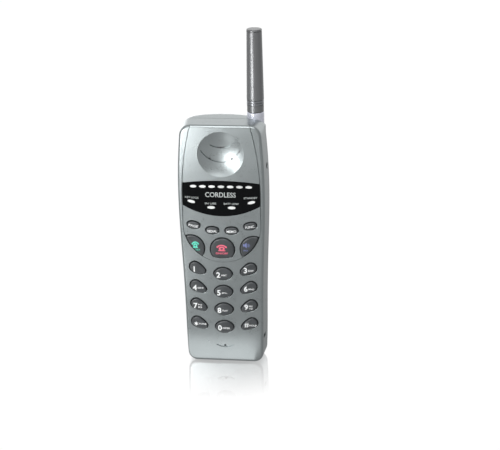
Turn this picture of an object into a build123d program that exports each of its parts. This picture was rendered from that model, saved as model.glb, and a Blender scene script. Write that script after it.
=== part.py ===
from build123d import *

# Long-range cordless handset with a screw-in stub antenna, standing upright on its base.
# Millimetres. X to the right seen from the keypad side, -Y out of the keypad, +Z up the body.
# The origin is the middle of the flat base.

import os
from math import atan2, cos, sin, sqrt

# ---------------------------------------------------------------- driving dimensions
HEIGHT = 162.0  # base to the front ridge of the top
TOP_RISE = 0.05  # slope of the top, up towards the back
FRONT_Y = -16.0  # foremost line of the face
FACE_RADIUS = 2200.0  # the face bows forward very slightly along its length
FACE_MIDDLE = 78.0  # height of the foremost line
REACH = 20.0  # how far the side walls run forward of the parting plane before the face trims them
DRAFT = 1.5  # how much the sides close in over that reach
FULLNESS = 0.6  # roundness of the back
STATIONS = (  # height, half width at the parting plane, depth of the back
    (-6.0, 25.0, 15.2),
    (50.0, 26.9, 15.7),
    (92.0, 28.4, 16.0),
    (118.0, 28.9, 16.0),
    (142.0, 28.1, 16.0),
    (170.0, 25.6, 15.8),
)
TOP_ROUND = 7.5
BASE_ROUND = 6.2
FACE_ROUND = 1.8
FAR = 60.0  # longer than anything it trims
INSIDE_Y = -11.0  # a depth clear of the face wall, on its inner side

WALL = 1.8
FACE_WALL = 2.6
PANEL_DEPTH = 1.5  # thickness of the silver face panel let into the face
GROOVE = 0.5  # open line round the panel
RIM = 0.25  # small round on the rims of the key holes and the dish
SEAM = 0.35  # width and depth of the line between the two shells

PANEL_HALF = 24.9
PANEL_LOW = 96.2  # centre height of the half round lower end
PANEL_TAPER_FROM = 115.0
PANEL_TAPER_RADIUS = 179.0

WINDOW_TOP = 126.2
WINDOW_TOP_RADIUS = 190.0
WINDOW_BOTTOM = 102.6
WINDOW_BOTTOM_RADIUS = 47.5
WINDOW_DEPTH = 0.9

DISH_Z = 144.3
DISH_RADIUS = 14.7
DISH_DEPTH = 3.1
DISH_BACK = 5.0  # how far behind the face the dished boss reaches
DISH_WALL = 2.0  # wall left round the dish
SLOT_DEPTH = 0.6  # grooves beside the microphone
SLOT_WIDTH = 0.8
EAR_SLOTS = ((147.2, 6.2, 1.6), (137.9, 12.2, 7.4))  # height, half length, sag
EAR_SLOT_DEPTH = 1.1
EAR_SLOT_WIDTH = 0.9
EAR_HOLES = ((0, 147.2), (-6.9, 139.9), (6.9, 139.9))
EAR_HOLE_RADIUS = 0.75

LAMP_PITCH = 5.93
LAMP_ROW_Z = 122.3
LAMP_SIZE = (4.2, 1.75)
STATUS_SIZE = (4.9, 1.9)
LENS_PROUD = 0.12
LENS_GAP = 0.1
STATUS_LAMPS = ((-19.3, 112.2, -14.0), (-6.6, 108.4, 0.0), (6.6, 108.4, 0.0), (19.3, 112.2, 14.0))

KEY_GAP = 0.4
KEY_PROUD = 1.3
KEY_FLANGE = 0.9  # thickness of the lip behind the face wall
KEY_LIP = 0.6  # how far the lip reaches past the key
DOME_RADIUS = 2.4  # rubber dome under each key
LIP_CLEAR = 0.3
CROWN_BEVEL = 0.5
NUMBER_X = 16.5
SIDE_ROW_Z = 66.5
SIDE_ROW_PITCH = 12.93
MIDDLE_ROW_Z = 63.2
MIDDLE_ROW_PITCH = 12.55
CALL_CIRCLE = 9.4  # the round of the two leaf keys
CALL_AT = (20.5, 80.5)
POWER_CIRCLE = 8.2
POWER_Z = 80.0
POWER_FLOOR = 22.4  # lower edge, a circle about the panel's lower centre

MAT_FRONT = -9.6
BOARD_FRONT = -9.0
BOARD_BACK = -7.6
BOARD_HALF = 21.3
BOARD_SPAN = (23.0, 126.5)
BOARD_TONGUE = (15.0, 4.0)  # half width and lower end of the part under the microphone
CHIPS = (  # x0, x1, thickness, z0, z1
    (-11, 1, 2.2, 60, 74),
    (5, 14, 1.8, 64, 72),
    (-12, -4, 1.6, 84, 92),
    (6, 13, 3.4, 28, 33),
)
CAPACITOR = (-8, 36, 3.2, 5.0)  # x, z, radius, length
RF_BOARD = (-15.0, 13.0, 0.4, 1.6, 119.6, 156.0)
RF_CAN = (-13.0, 10.0, 1.6, 5.2, 122.0, 145.0)
RF_CAN_ROOM = (-12.6, 9.6, 1.0, 4.8, 122.4, 144.6)
CONNECTOR = (-9.0, 9.0, BOARD_BACK, 0.4, 121.0, 125.0)
GUIDE_FRONT = -12.6
GUIDE_BACK = BOARD_FRONT - 1.0
GUIDE = (-20.6, 20.6, GUIDE_FRONT, GUIDE_BACK, 106.6, 124.6)
GUIDE_PEG = 0.95
LED = (0.8, 0.6)  # half width, half height
SPEAKER_RADIUS = 13.0
SPEAKER_DEPTH = 2.6
MAGNET = (8.0, 2.4)  # radius, depth
GASKET = (11.0, 0.6)  # bore, thickness
RINGER = (0, 147.0, 8.0)
RINGER_DEPTHS = (9.4, 12.4)
RINGER_SLOTS = (143.4, 146.6, 149.8)

BAY_TOP = 117.0  # underside of the shelf above the battery
SHELF = 1.8
PLATE_FRONT = -1.4
PLATE_BACK = 1.8
BATTERY_FRONT = 2.1
BATTERY_GAP = 0.3
HOOK_X = 15.0
HOOK_HALF = 3.0
CELL_RADIUS = 5.0
CELL_LENGTH = 44.5
CELL_X = 5.1
CELL_Y = 8.4
CELL_FEET = (12.0, 57.5)
TERMINAL_X = (-6, 0, 6)
TERMINAL_DEPTH = 0.5
PACK_WALL = 1.4
BATTERY_SPLIT = 1.2  # thickness of the pack's base plate
HINGE_ROUND = 1.1  # the pack rolls on its rounded lower edge
GRIPS = (100.0, 102.4, 104.8, 107.2, 109.6)  # finger grooves on the pack
GRIP_SIZE = (24.0, 1.0)
GRIP_FLOOR = 15.4
LATCH = (-8.9, 8.9, 12.15, 15.3, 119.2, 130.0)
LATCH_RIBS = (121.0, 123.2, 125.4, 127.6)
LATCH_TRAY = (-9.2, 9.2, 12.0, 118.8, 135.6)  # x0, x1, floor, z0, z1
CATCH = (-4.1, 4.1, 12.15, 14.2, 115.2, 119.2)
CATCH_SLOT = (-4.4, 4.4, 12.0, 14.4)

ANTENNA = (20.4, 4.5)
ANTENNA_BASE_RADIUS = 5.5
ANTENNA_TIP_RADIUS = 4.85
FERRULE_TOP = 166.5
SEAL_TOP = 166.9
COLLAR_TOP = 171.1
SLEEVE_FROM = 174.6
SLEEVE_TOP = 217.8
CAP_TOP = 219.4
STUD_RADIUS = 2.4
SOCKET_RADIUS = 3.4
SOCKET_FOOT = 150.0
NECK_STEP = 0.6  # how far the neck lies inside the collar
WHIP_RADIUS = 0.8
ANTENNA_RINGS = (COLLAR_TOP + 0.4, COLLAR_TOP + 2.0)
RUNNING_FIT = 0.05

JACK_Y = -4.5
JACK_Z = 133.5
JACK_BORE = 1.25
JACK_NOSE = 2.05
JACK_HALF = 2.8
JACK_SPAN = (16.4, 24.0, 27.9)  # back of the block, its front, end of the nose
MIC_Z = 11.8
MIC_RADIUS = 3.0
MIC_SMILE = (5.4, 1.5)  # half length and sag of the groove under the hole
STRAP_Z = 17.8
STRAP_HALF = 1.3
STRAP_DEPTHS = (-12.6, -6.4)
STRAP_PIN = (24.0, -9.5, 0.7, 14.2, 21.4)
CHARGE_X = 8
CHARGE_Y = -7.0
SCREW_RADIUS = 0.95
SCREW_FIT = 0.05
SCREW_SEAT = 0.2  # depth of the underside of the head
SCREW_HEAD = (2.0, 1.3)  # radius, height
SCREW_SLOT = (0.25, 1.5, 0.6)  # half width, half length, depth
COUNTERBORE = 2.3
BOSS_RADIUS = 2.5
SCREWS = ((-20.6, 11.5), (20.6, 11.5), (-21.0, 103.6), (21.0, 103.6), (-20.5, 149.0))

NODES = {}


def keep(name, *solids):
    """Store the solids of one node under its name."""
    NODES[name] = solids[0] if len(solids) == 1 else Compound(children=list(solids))


# ---------------------------------------------------------------- plain shapes
def face_y(z, behind=0.0):
    """Depth of the bowed face at height z, moved back by behind."""
    reach = FACE_RADIUS - behind
    return FRONT_Y + FACE_RADIUS - sqrt(reach**2 - (z - FACE_MIDDLE) ** 2)


def block(x0, x1, y0, y1, z0, z1):
    """A box between two corners."""
    middle = ((x0 + x1) / 2, (y0 + y1) / 2, (z0 + z1) / 2)
    return Pos(*middle) * Box(x1 - x0, y1 - y0, z1 - z0)


def round_y(x, z, radius, front, back):
    """A round bar along the depth."""
    return Pos(x, (front + back) / 2, z) * Rot(90, 0, 0) * Cylinder(radius, back - front)


def round_z(x, y, radius, low, high):
    """A round bar along the height."""
    return Pos(x, y, (low + high) / 2) * Cylinder(radius, high - low)


def round_x(y, z, radius, left, right):
    """A round bar across the width."""
    return Pos((left + right) / 2, y, z) * Rot(0, 90, 0) * Cylinder(radius, right - left)


def through(outline, front, back):
    """A front-view outline made solid between two depths."""
    return extrude(Plane((0, back, 0), x_dir=(1, 0, 0), z_dir=(0, -1, 0)) * outline, back - front)


def slab(near, far):
    """The layer between two depths behind the bowed face."""
    low, middle, high = -10.0, FACE_MIDDLE, 190.0
    front = ThreePointArc(*((face_y(z, near), z) for z in (low, middle, high)))
    back = ThreePointArc(*((face_y(z, far), z) for z in (low, middle, high)))
    layer = make_face([front, Line(front @ 1, back @ 1), back, Line(back @ 0, front @ 0)])
    return extrude(Plane.YZ * layer, FAR, both=True)


def disc(x, z, radius):
    """A round front-view outline."""
    return Pos(x, z) * Circle(radius)


def egg(big, small, reach, flank):
    """Front-view outline of two round ends joined by bulging flanks, middle of its length at 0,0."""
    a, b = flank - big, flank - small
    along = (a * a - b * b + reach * reach) / (2 * reach)
    drop = sqrt(a * a - along * along)
    start = atan2(drop, -along)
    end = atan2(drop, reach - along)

    def flank_point(angle, side):
        return (along + flank * cos(angle), side * (flank * sin(angle) - drop))

    upper = [flank_point(t, 1) for t in (start, (start + end) / 2, end)]
    lower = [flank_point(t, -1) for t in (end, (start + end) / 2, start)]
    edges = [
        ThreePointArc(*upper),
        ThreePointArc(upper[2], (reach + small, 0), lower[0]),
        ThreePointArc(*lower),
        ThreePointArc(lower[2], (-big, 0), upper[0]),
    ]
    return Pos(-(reach + small - big) / 2, 0) * make_face(edges)


# ---------------------------------------------------------------- the body's outer form
def station(z, half, rear, inset):
    """Plan outline at one height: drafted sides and a rounded back, moved in by inset."""
    side, back = half - inset, rear - inset
    slope = DRAFT / REACH
    corner = (side - DRAFT, -REACH, z)
    shoulder = (side, 0, z)
    pull = (side + slope * FULLNESS * back, FULLNESS * back, z)
    pull_back = (FULLNESS * side, back, z)
    middle = (0, back, z)
    left = [(-x, y, h) for x, y, h in (corner, shoulder, pull, pull_back)]
    edges = [
        Line(corner, shoulder),
        Bezier(shoulder, pull, pull_back, middle),
        Bezier(middle, left[3], left[2], left[1]),
        Line(left[1], left[0]),
        Line(left[0], corner),
    ]
    return make_face(edges)


def envelope(inset, behind, floor, roof):
    """The body's form moved in: sides by inset, face by behind, base by floor, top by roof."""
    hull = loft([station(z, half, rear, inset) for z, half, rear in STATIONS])

    def lid(y):
        return HEIGHT - roof + (y - FRONT_Y) * TOP_RISE

    low = (face_y(floor, behind), floor)
    middle = (face_y(FACE_MIDDLE, behind), FACE_MIDDLE)
    high_y = face_y(HEIGHT - roof, behind)
    high = (high_y, lid(high_y))
    side_view = [
        ThreePointArc(low, middle, high),
        Line(high, (FAR, lid(FAR))),
        Line((FAR, lid(FAR)), (FAR, floor)),
        Line((FAR, floor), low),
    ]
    return hull & extrude(Plane.YZ * make_face(side_view), FAR, both=True)


def top_edges(form):
    """The side and back edges of the top."""
    return form.faces().sort_by(Axis.Z)[-1].edges().sort_by(Axis.Y)[1:]


def base_edges(form):
    """The side and back edges of the base."""
    return form.faces().sort_by(Axis.Z)[0].edges().sort_by(Axis.Y)[1:]


def outer_form():
    """The whole outside of the body with its edges rounded."""
    form = envelope(0, 0, 0, 0)
    form = fillet(top_edges(form), TOP_ROUND)
    form = fillet(base_edges(form), BASE_ROUND)
    return fillet(form.faces().sort_by(Axis.Y)[0].edges(), FACE_ROUND)


def inner_form():
    """The hollow inside the walls."""
    form = envelope(WALL, FACE_WALL, WALL, WALL)
    form = fillet(top_edges(form), TOP_ROUND - WALL)
    return fillet(base_edges(form), BASE_ROUND - WALL)


OUTER = outer_form()
INNER = inner_form()
FRONT_SIDE = block(-FAR, FAR, -FAR, 0, -FAR, 4 * FAR)


# ---------------------------------------------------------------- outlines on the face
def panel_outline(grow, low_grow):
    """The panel: half round below, straight sides, then closing in to the top."""
    half = PANEL_HALF + grow
    radius = PANEL_HALF + low_grow
    top = HEIGHT + 6.0

    def side(z):
        return half - (PANEL_TAPER_RADIUS - sqrt(PANEL_TAPER_RADIUS**2 - (z - PANEL_TAPER_FROM) ** 2))

    def closing(sign):
        span = (PANEL_TAPER_FROM, (PANEL_TAPER_FROM + top) / 2, top)
        return ThreePointArc(*((sign * side(z), z) for z in span))

    edges = [
        Line((-half, PANEL_TAPER_FROM), (-half, PANEL_LOW)),
        ThreePointArc((-half, PANEL_LOW), (0, PANEL_LOW - radius), (half, PANEL_LOW)),
        Line((half, PANEL_LOW), (half, PANEL_TAPER_FROM)),
        closing(1),
        Line((side(top), top), (-side(top), top)),
        closing(-1),
    ]
    return make_face(edges)


PANEL = panel_outline(0, 0)
POCKET = panel_outline(GROOVE, 0.15)


def window_outline(grow):
    """The dark window: a shallow arc above, a deeper one below."""
    above = disc(0, WINDOW_TOP - WINDOW_TOP_RADIUS, WINDOW_TOP_RADIUS + grow)
    below = disc(0, WINDOW_BOTTOM + WINDOW_BOTTOM_RADIUS, WINDOW_BOTTOM_RADIUS + grow)
    return above & below & (Pos(0, WINDOW_BOTTOM + 20) * Rectangle(2 * PANEL_HALF + 4, 60))


def lamp_outline(x, z, size, angle, grow=0.0):
    """An oval lamp lens."""
    return Pos(x, z) * Rot(0, 0, angle) * Ellipse(size[0] / 2 + grow, size[1] / 2 + grow)


def lamp_row(grow=0.0):
    """The seven lamps of the upper row."""
    return [lamp_outline(i * LAMP_PITCH, LAMP_ROW_Z, LAMP_SIZE, 0, grow) for i in range(-3, 4)]


def status_row(grow=0.0):
    """The four lamps under the labels."""
    return [lamp_outline(x, z, STATUS_SIZE, angle, grow) for x, z, angle in STATUS_LAMPS]


def smile(x, z, half, sag, width):
    """A curved groove, lowest in the middle, with round ends."""
    radius = (half**2 + sag**2) / (2 * sag)
    arc = ThreePointArc((x - half, z + sag), (x, z), (x + half, z + sag))
    band = disc(x, z + radius, radius + width / 2) - disc(x, z + radius, radius - width / 2)
    band &= Pos(x, z + sag / 2) * Rectangle(2 * half, sag + width)
    for end in (arc @ 0, arc @ 1):
        band += disc(end.X, end.Y, width / 2)
    return band


# ---------------------------------------------------------------- keys
def number_hole(column, z):
    """Outline of a number key's hole: eggs in the side columns, an even oval in the middle."""
    if column == 0:
        return Pos(0, z) * egg(3.05, 3.05, 6.8, 7.4)
    turn = -30 if column < 0 else 210
    return Pos(column * NUMBER_X, z) * Rot(0, 0, turn) * egg(4.0, 2.6, 5.6, 15.0)


def number_keys():
    """Name, hole outline and centre of each number key."""
    rows = (("key_1", "key_2", "key_3"), ("key_4", "key_5", "key_6"), ("key_7", "key_8", "key_9"))
    rows += (("key_star", "key_0", "key_hash"),)
    keys = []
    for row, names in enumerate(rows):
        for column, name in zip((-1, 0, 1), names):
            side_z = SIDE_ROW_Z - row * SIDE_ROW_PITCH
            z = side_z if column else MIDDLE_ROW_Z - row * MIDDLE_ROW_PITCH
            keys.append((name, number_hole(column, z), (column * NUMBER_X, z)))
    return keys


def function_keys():
    """The four small oval keys, set in a smile."""
    places = (
        ("key_page", -18.3, 96.4, -11.0),
        ("key_redial", -6.2, 93.0, -2.0),
        ("key_memo", 6.2, 93.0, 2.0),
        ("key_function", 18.3, 96.4, 11.0),
    )
    oval = egg(2.4, 2.4, 4.4, 8.0)
    return [(name, Pos(x, z) * Rot(0, 0, turn) * oval, (x, z)) for name, x, z, turn in places]


def lens(x, z, radius, rim, corner):
    """A disc cut by a circle about the panel's lower centre, its two corners rounded."""
    outline = disc(x, z, radius) & disc(0, PANEL_LOW, rim)
    return offset(offset(outline, -corner), corner)


def call_keys():
    """The two leaf keys and the round one between them."""
    x, z = CALL_AT
    rim = PANEL_HALF + 0.15
    return [
        ("key_talk", lens(-x, z, CALL_CIRCLE, rim, 1.0), (-18.5, 82.5)),
        ("key_power", lens(0, POWER_Z, POWER_CIRCLE, POWER_FLOOR, 1.4), (0, 80.5)),
        ("key_speaker", lens(x, z, CALL_CIRCLE, rim, 1.0), (18.5, 82.5)),
    ]


KEYS = number_keys() + function_keys() + call_keys()


def key_solid(hole, centre):
    """A key cap: shank through the face, rounded crown, and a lip behind the wall."""
    z = centre[1]
    cap = offset(hole, -KEY_GAP)
    crown = face_y(z) - KEY_PROUD
    wall_back = face_y(z, FACE_WALL) + LIP_CLEAR
    shank = through(cap, crown, wall_back)
    shank = chamfer(shank.faces().sort_by(Axis.Y)[0].edges(), CROWN_BEVEL)
    lip = through(offset(cap, KEY_LIP), wall_back, wall_back + KEY_FLANGE)
    return shank + lip


def build_keys():
    """Every key as a node of its own."""
    for name, hole, centre in KEYS:
        keep(name, key_solid(hole, centre))


def build_keypad_mat():
    """The silicone sheet with one dome under each key."""
    half = BOARD_HALF - 0.5
    mat = block(-half, half, MAT_FRONT, BOARD_FRONT, BOARD_SPAN[0], 100.0)
    for x, z in SCREWS:
        mat -= round_y(x, z, BOSS_RADIUS + 0.9, MAT_FRONT - 1, BOARD_FRONT + 1)
    for _, _, (x, z) in KEYS:
        mat += round_y(x, z, DOME_RADIUS, face_y(z, FACE_WALL) + LIP_CLEAR + KEY_FLANGE, MAT_FRONT)
    keep("keypad_mat", mat)


# ---------------------------------------------------------------- front shell and panel
def soften_rims(solid, edge_count):
    """Round the rims of the holes in a solid's front that are bounded by that many edges or fewer."""
    rims = []
    for face in solid.faces():
        if face.area > 500 and face.normal_at().Y < -0.9:
            rims += [wire.edges() for wire in face.inner_wires() if len(wire.edges()) <= edge_count]
    return fillet([edge for rim in rims for edge in rim], RIM)


def seam():
    """The fine line left open between the two shells, on the front shell's side."""
    return (OUTER - envelope(SEAM, 0, SEAM, SEAM)) & block(-FAR, FAR, -SEAM, 0, -1, 4 * FAR)


def strap_recess():
    """The pocket behind the strap slot, open through the side wall."""
    return block(21.6, FAR, *STRAP_DEPTHS, STRAP_Z - STRAP_HALF, STRAP_Z + STRAP_HALF)


def strap_boss():
    """The moulded block that holds the strap pin."""
    return block(20.4, 24.6, -13.4, -5.0, 13.0, 22.4) & INNER


def charge_window(side, half_width, half_depth, low, high):
    """A box about one charging contact's middle."""
    x = side * CHARGE_X
    return block(x - half_width, x + half_width, CHARGE_Y - half_depth, CHARGE_Y + half_depth, low, high)


def build_front_housing():
    """The front shell with everything moulded into it."""
    shell = (OUTER - INNER) & FRONT_SIDE
    shell -= through(POCKET, -FAR, 0) & slab(-5, PANEL_DEPTH)
    for x, z in SCREWS:
        shell += round_y(x, z, BOSS_RADIUS, face_y(z, FACE_WALL - 0.6), PLATE_FRONT)
    shell += strap_boss()
    shell -= strap_recess()
    shell -= round_z(*STRAP_PIN)
    for _, hole, _ in KEYS:
        shell -= through(hole, -FAR, INSIDE_Y)
    for outline in lamp_row(LENS_GAP) + status_row(LENS_GAP):
        shell -= through(outline, -FAR, INSIDE_Y)
    shell -= round_y(0, DISH_Z, DISH_RADIUS + DISH_WALL + 0.3, -FAR, INSIDE_Y)
    shell -= round_y(0, MIC_Z, SLOT_WIDTH, -FAR, INSIDE_Y)
    shell -= through(smile(0, MIC_Z - 1.0, *MIC_SMILE, SLOT_WIDTH), -FAR, 0) & slab(-5, SLOT_DEPTH)
    shell -= round_x(JACK_Y, JACK_Z, JACK_NOSE + RUNNING_FIT, 15, FAR)
    shell -= antenna_bar(ANTENNA_BASE_RADIUS, 143.0, 4 * FAR)
    for side in (-1, 1):
        shell -= charge_window(side, 2.6, 1.6, -1, 3)
    for x, z in SCREWS:
        shell -= round_y(x, z, SCREW_RADIUS + SCREW_FIT, INSIDE_Y - 0.6, 1)
    keep("front_housing", soften_rims(shell - seam(), 4))


def dish_boss():
    """The solid behind the ear dish."""
    return round_y(0, DISH_Z, DISH_RADIUS + DISH_WALL, FRONT_Y, FRONT_Y + DISH_BACK) & slab(0, 20)


def dish_bowl():
    """The ball that scoops out the dish."""
    radius = (DISH_RADIUS**2 + DISH_DEPTH**2) / (2 * DISH_DEPTH)
    rim_y = face_y(DISH_Z)
    return Pos(0, rim_y + DISH_DEPTH - radius, DISH_Z) * Rot(90, 0, 0) * Sphere(radius)


def sound_slots():
    """The two curved grooves and three holes of the ear dish."""
    floor = FRONT_Y + DISH_BACK
    cuts = []
    for z, half, sag in EAR_SLOTS:
        groove = through(smile(0, z, half, sag, EAR_SLOT_WIDTH), FRONT_Y, floor)
        cuts.append(groove & (Pos(0, EAR_SLOT_DEPTH, 0) * dish_bowl()))
    for x, z in EAR_HOLES:
        cuts.append(round_y(x, z, EAR_HOLE_RADIUS, FRONT_Y, floor + 1))
    return cuts


def build_face_panel():
    """The silver panel: ear dish above, seat for the window, holes for the keys on it."""
    panel = (through(PANEL, -FAR, 0) & slab(-5, PANEL_DEPTH)) & OUTER
    panel += dish_boss()
    panel -= dish_bowl()
    for cut in sound_slots():
        panel -= cut
    panel -= through(window_outline(0), -FAR, 0) & slab(-5, WINDOW_DEPTH)
    for outline in lamp_row() + status_row():
        panel -= through(outline, -FAR, 0)
    for name, hole, _ in KEYS:
        side = {"key_talk": -1, "key_speaker": 1}.get(name, 0)
        notch = disc(side * CALL_AT[0], CALL_AT[1], CALL_CIRCLE) if side else hole
        panel -= through(notch, -FAR, 0)
    keep("face_panel", soften_rims(panel, 4))


def build_window():
    """The gloss black window and the lamp lenses set in it."""
    window = through(window_outline(0) & PANEL, -FAR, 0) & slab(0, WINDOW_DEPTH)
    layer = slab(-LENS_PROUD, PANEL_DEPTH)
    row = [through(outline, -FAR, 0) & layer for outline in lamp_row()]
    status = [through(outline, -FAR, 0) & layer for outline in status_row()]
    for lamp in row + status:
        window -= lamp
    keep("status_window", window)
    keep("lamp_row_lenses", *row)
    keep("status_lamp_lenses", *status)


# ---------------------------------------------------------------- boards and what they carry
def lamp_places():
    """Centres of all eleven lamps."""
    row = [(i * LAMP_PITCH, LAMP_ROW_Z) for i in range(-3, 4)]
    return row + [(x, z) for x, z, _ in STATUS_LAMPS]


def build_boards():
    """The main board behind the keypad and the radio board above the battery."""
    half, foot = BOARD_TONGUE
    board = block(-BOARD_HALF, BOARD_HALF, BOARD_FRONT, BOARD_BACK, *BOARD_SPAN)
    board += block(-half, half, BOARD_FRONT, BOARD_BACK, foot, BOARD_SPAN[0])
    for x, z in SCREWS:
        board -= round_y(x, z, BOSS_RADIUS + 0.3, -FAR, FAR)
    keep("main_board", board)
    chips = [block(x0, x1, BOARD_BACK, BOARD_BACK + thick, z0, z1) for x0, x1, thick, z0, z1 in CHIPS]
    x, z, radius, length = CAPACITOR
    keep("board_components", *chips, round_y(x, z, radius, BOARD_BACK, BOARD_BACK + length))
    keep("rf_board", block(*RF_BOARD))
    keep("rf_shield_can", block(*RF_CAN) - block(*RF_CAN_ROOM))
    keep("board_connector", block(*CONNECTOR))


def build_lamps():
    """Lamp chips on the board and the clear light guide in front of them."""
    half, rise = LED
    places = lamp_places()
    chips = [block(x - half, x + half, GUIDE_BACK, BOARD_FRONT, z - rise, z + rise) for x, z in places]
    keep("lamp_leds", *chips)
    guide = block(*GUIDE)
    for x, z in places:
        guide += round_y(x, z, GUIDE_PEG, face_y(z, PANEL_DEPTH) + LENS_PROUD, GUIDE_BACK)
    keep("light_guide", guide)


def build_sound_parts():
    """Earpiece, microphone and ringer."""
    floor = FRONT_Y + DISH_BACK
    bore, thickness = GASKET
    front = floor + thickness
    back = front + SPEAKER_DEPTH
    magnet_radius, magnet_depth = MAGNET
    ring = round_y(0, DISH_Z, SPEAKER_RADIUS, floor, front) - round_y(0, DISH_Z, bore, -FAR, FAR)
    keep("earpiece_gasket", ring)
    speaker = round_y(0, DISH_Z, SPEAKER_RADIUS, front, back)
    speaker += round_y(0, DISH_Z, magnet_radius, back, back + magnet_depth)
    keep("earpiece_speaker", speaker)
    boot_front = face_y(MIC_Z, FACE_WALL) + 0.2
    mic_front = boot_front + 0.5
    boot = round_y(0, MIC_Z, MIC_RADIUS + 1.0, boot_front, BOARD_FRONT)
    boot -= round_y(0, MIC_Z, MIC_RADIUS, mic_front, BOARD_FRONT)
    boot -= round_y(0, MIC_Z, SLOT_WIDTH + 0.1, -FAR, FAR)
    keep("microphone_boot", boot)
    keep("microphone_capsule", round_y(0, MIC_Z, MIC_RADIUS, mic_front, BOARD_FRONT))
    keep("ringer_speaker", round_y(*RINGER, *RINGER_DEPTHS))


def build_side_fittings():
    """Headset jack, strap pin and charging contacts."""
    back, front, nose = JACK_SPAN
    sides = (JACK_Y - JACK_HALF, JACK_Y + JACK_HALF, JACK_Z - JACK_HALF, JACK_Z + JACK_HALF)
    jack = round_x(JACK_Y, JACK_Z, JACK_NOSE, front, nose)
    jack += block(back, front, *sides)
    jack -= round_x(JACK_Y, JACK_Z, JACK_BORE, back + 1.5, FAR)
    keep("headset_jack", jack)
    keep("strap_pin", round_z(*STRAP_PIN))
    pads = [charge_window(side, 2.5, 1.5, 0.25, 2.4) for side in (-1, 1)]
    keep("charge_contacts", *pads)


# ---------------------------------------------------------------- antenna
def antenna_bar(radius, low, high):
    """A round bar on the antenna's axis."""
    return round_z(*ANTENNA, radius, low, high)


def antenna_cone(low_radius, high_radius, low, high):
    """A tapered bar on the antenna's axis."""
    return Pos(*ANTENNA, (low + high) / 2) * Cone(low_radius, high_radius, high - low)


def coil(radius, wire, pitch, low, turns):
    """A wire coil about its own upright axis."""
    path = Helix(pitch=pitch, height=pitch * turns, radius=radius, center=(0, 0, low))
    profile = Plane(origin=path @ 0, z_dir=path % 0) * Circle(wire)
    return sweep(profile, path=path)


def build_antenna():
    """The screw-in stub antenna and the seat it screws into."""
    base, tip = ANTENNA_BASE_RADIUS, ANTENNA_TIP_RADIUS
    neck_radius = base - NECK_STEP
    bore = STUD_RADIUS + RUNNING_FIT
    ferrule = antenna_bar(base, SOCKET_FOOT, FERRULE_TOP)
    ferrule -= antenna_bar(SOCKET_RADIUS, SOCKET_FOOT - 1, FERRULE_TOP + 1)
    outer_rim = ferrule.faces().sort_by(Axis.Z)[-1].edges().sort_by(Edge.length)[-1]
    keep("antenna_ferrule", chamfer(outer_rim, 0.3))
    socket = antenna_bar(SOCKET_RADIUS, SOCKET_FOOT, FERRULE_TOP - 0.6)
    keep("antenna_socket", socket - antenna_bar(bore, SOCKET_FOOT + 1.2, FERRULE_TOP))
    seal = antenna_bar(base - 0.5, FERRULE_TOP, SEAL_TOP)
    keep("antenna_seal", seal - antenna_bar(bore, SOCKET_FOOT, SLEEVE_TOP))
    foot = antenna_bar(base - 0.15, SEAL_TOP, COLLAR_TOP)
    foot += antenna_bar(neck_radius, COLLAR_TOP, SLEEVE_FROM + 0.4)
    foot += antenna_bar(STUD_RADIUS, FERRULE_TOP - 6.5, SEAL_TOP)
    foot -= antenna_bar(WHIP_RADIUS, COLLAR_TOP - 3.0, SLEEVE_FROM + 1.0)
    keep("antenna_base", foot)
    inside = antenna_bar(neck_radius, SOCKET_FOOT, SLEEVE_TOP)
    rings = [antenna_bar(base - 0.05, low, low + 0.9) - inside for low in ANTENNA_RINGS]
    keep("antenna_rings", *rings)
    sleeve = antenna_cone(base, tip, SLEEVE_FROM, SLEEVE_TOP)
    sleeve -= antenna_bar(neck_radius, SLEEVE_FROM - 1, SLEEVE_FROM + 0.4)
    sleeve -= antenna_bar(SOCKET_RADIUS, SLEEVE_FROM, SLEEVE_TOP - 1.6)
    keep("antenna_sleeve", sleeve)
    cap = antenna_bar(tip - 0.5, SLEEVE_TOP, SLEEVE_TOP + 0.4)
    crown = antenna_bar(tip, SLEEVE_TOP + 0.4, CAP_TOP)
    crown = fillet(crown.faces().sort_by(Axis.Z)[-1].edges(), 0.6)
    keep("antenna_cap", cap + crown)
    keep("antenna_core", antenna_bar(WHIP_RADIUS, COLLAR_TOP - 3.0, SLEEVE_TOP - 1.6))
    keep("antenna_coil", Pos(*ANTENNA, 0) * coil(2.4, 0.4, 2.4, 178.0, 14))


# ---------------------------------------------------------------- rear shell
def latch_tray(grow):
    """The hollow in which the battery latch slides, grown outwards for its walls."""
    x0, x1, floor, z0, z1 = LATCH_TRAY
    return block(x0 - grow, x1 + grow, floor - grow, FAR, z0 - grow, z1 + grow)


def ringer_slots():
    """Three curved slots in the back over the ringer."""
    return [through(smile(0, z, 4.5, 0.8, 1.0), RINGER_DEPTHS[1] - 0.4, FAR) for z in RINGER_SLOTS]


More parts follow.
